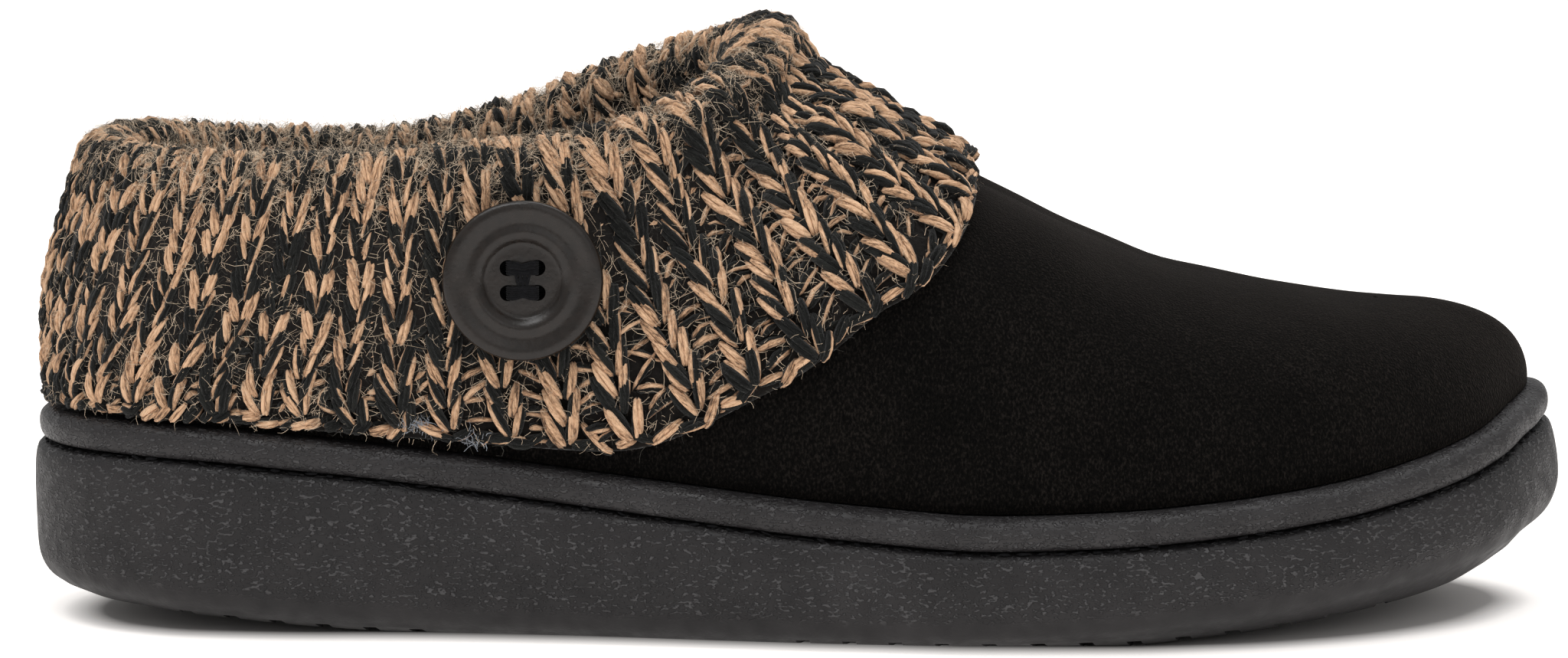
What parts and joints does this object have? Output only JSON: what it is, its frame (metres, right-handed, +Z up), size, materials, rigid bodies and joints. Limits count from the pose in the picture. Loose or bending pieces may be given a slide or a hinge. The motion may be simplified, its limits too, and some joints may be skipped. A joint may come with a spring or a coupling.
{
  "type": "knit collar slipper clog",
  "caption": "Low closed-heel house clog: suede upper, turned-down knitted collar with a sewn button, wrapped midsole and wedge outsole.",
  "frame": {"origin": "middle of the bounding box, on the floor", "axes": "+X from heel to toe, +Y to the inner side of the foot, +Z up, floor at z = 0"},
  "size_m": [0.266, 0.098, 0.1035],
  "materials": {
    "outsole": "matt black moulded foam, finely pebbled",
    "midsole": "matt black wrapped cover, soft grain",
    "upper": "black suede, short nap",
    "insole": "dark felt",
    "collar": "beige and charcoal marled rib knit",
    "button": "black, dished, satin",
    "button_thread": "black cotton"
  },
  "bodies": {
    "root": {"outsole": "outsole", "midsole": "midsole", "upper": "upper", "insole": "insole", "collar": "collar", "button": "button", "button_thread": "button_thread"}
  },
  "joints": []
}
